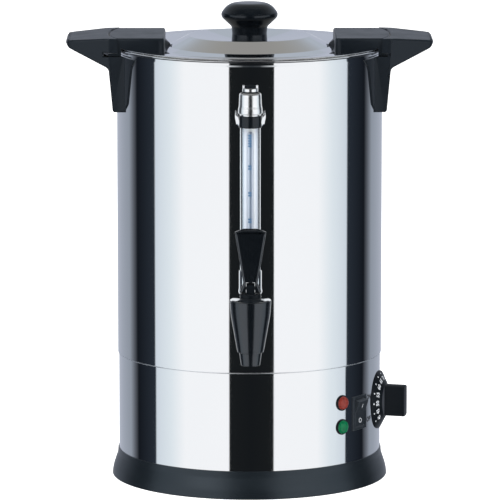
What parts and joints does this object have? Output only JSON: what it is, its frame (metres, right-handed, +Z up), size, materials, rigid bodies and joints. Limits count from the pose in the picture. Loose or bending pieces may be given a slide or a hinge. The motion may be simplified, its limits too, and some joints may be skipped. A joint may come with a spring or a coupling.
{
  "type": "hot water urn",
  "caption": "Free-standing steel hot water urn with twist-lock lid, side handles, sight gauge, lever tap, rocker switch and thermostat dial.",
  "frame": {"origin": "on the table under the middle of the tank, at the bottom of the foot ring", "axes": "+Z up along the tank's axis, the tap towards -Y, the handles along X"},
  "size_m": [0.3246, 0.3042, 0.4247],
  "materials": {
    "polished_steel": "mirror-polished stainless sheet",
    "plain_steel": "plain stainless or plated steel, hidden inside",
    "chrome_plate": "bright chrome plate on brass",
    "black_plastic": "moulded phenolic, satin black",
    "grey_plastic": "moulded, dark grey",
    "ivory_ceramic": "steatite and white moulding",
    "aluminium_plate": "cast, as made",
    "brass_part": "turned brass",
    "black_rubber": "moulded rubber",
    "white_silicone": "food-grade silicone",
    "clear_glass": "clear borosilicate tube",
    "scale_plastic": "pale strip with blue marks",
    "red_plastic": "translucent red lens",
    "green_plastic": "translucent green lens"
  },
  "bodies": {
    "urn": {"tank_shell": "polished_steel", "tank_floor": "plain_steel", "base_skirt": "polished_steel", "foot_ring": "black_plastic", "bottom_cover": "plain_steel", "rubber_feet": "black_rubber", "tie_studs": "plain_steel", "cover_nuts": "plain_steel", "heat_plate": "aluminium_plate", "heating_element": "plain_steel", "element_clamp": "plain_steel", "clamp_nut": "plain_steel", "thermal_cutout": "ivory_ceramic", "reset_housing": "ivory_ceramic", "terminal_block": "ivory_ceramic", "earth_stud": "brass_part", "thermostat_body": "grey_plastic", "thermostat_bulb": "brass_part", "thermostat_bezel": "black_plastic", "lamp_bezels": "black_plastic", "lamp_clips": "plain_steel", "red_lens": "red_plastic", "green_lens": "green_plastic", "switch_housing": "black_plastic", "inlet_socket": "black_plastic", "inlet_pins": "plain_steel", "inlet_screws": "plain_steel", "handle_left": "black_plastic", "handle_right": "black_plastic", "handle_screws": "plain_steel", "handle_washers": "black_rubber", "tap_shank": "chrome_plate", "tap_outer_washer": "black_rubber", "tap_inner_washer": "black_rubber", "tap_locknut": "chrome_plate", "tap_body": "black_plastic", "tap_bonnet": "black_plastic", "tap_pin": "chrome_plate", "gauge_base": "chrome_plate", "gauge_glass": "clear_glass", "gauge_scale": "scale_plastic", "gauge_collar": "black_plastic", "gauge_bracket": "chrome_plate", "gauge_cap": "chrome_plate", "gauge_vent": "chrome_plate", "gauge_seals": "black_rubber"},
    "lid": {"lid_pan": "polished_steel", "lid_knob": "black_plastic", "knob_screw": "plain_steel", "lug_left": "black_plastic", "lug_right": "black_plastic", "lug_screws": "plain_steel"},
    "tap_lever": {"tap_lever": "black_plastic"},
    "tap_stem": {"tap_stem": "black_plastic", "tap_seat_cup": "white_silicone"},
    "dial": {"thermostat_dial": "black_plastic", "thermostat_shaft": "plain_steel"},
    "rocker": {"switch_rocker": "black_plastic"},
    "reset": {"reset_button": "red_plastic"}
  },
  "joints": [
    {"name": "lid_twist", "type": "hinge", "parent": "urn", "child": "lid", "pos_m": [0, 0, 0.3868], "axis": [0, 0, 1], "range_deg": [0, 45]},
    {"name": "lever_pull", "type": "hinge", "parent": "urn", "child": "tap_lever", "pos_m": [0, -0.163, 0.195], "axis": [1, 0, 0], "range_deg": [0, 30], "stiffness_Nm_per_rad": 0.35, "springref_deg": -11.46},
    {"name": "stem_lift", "type": "slide", "parent": "urn", "child": "tap_stem", "axis": [0, 0, 1], "range_m": [0, 0.0035], "stiffness_N_per_m": 0.6, "springref_m": 0.039},
    {"name": "dial_turn", "type": "hinge", "parent": "urn", "child": "dial", "pos_m": [0.11256, -0.03228, 0.0723], "axis": [0.9613, -0.2756, 0], "range_deg": [-270, 0]},
    {"name": "rocker_tilt", "type": "hinge", "parent": "urn", "child": "rocker", "pos_m": [0.09566, -0.06649, 0.0671], "axis": [-0.5707, -0.8211, 0], "range_deg": [0, 20]},
    {"name": "reset_press", "type": "slide", "parent": "urn", "child": "reset", "axis": [0, 0, 1], "range_m": [0, 0.002], "stiffness_N_per_m": 600, "springref_m": -0.001}
  ],
  "couplings": [
    {"joint": "stem_lift", "follows": "lever_pull", "m_per_rad": 0.0066778}
  ]
}
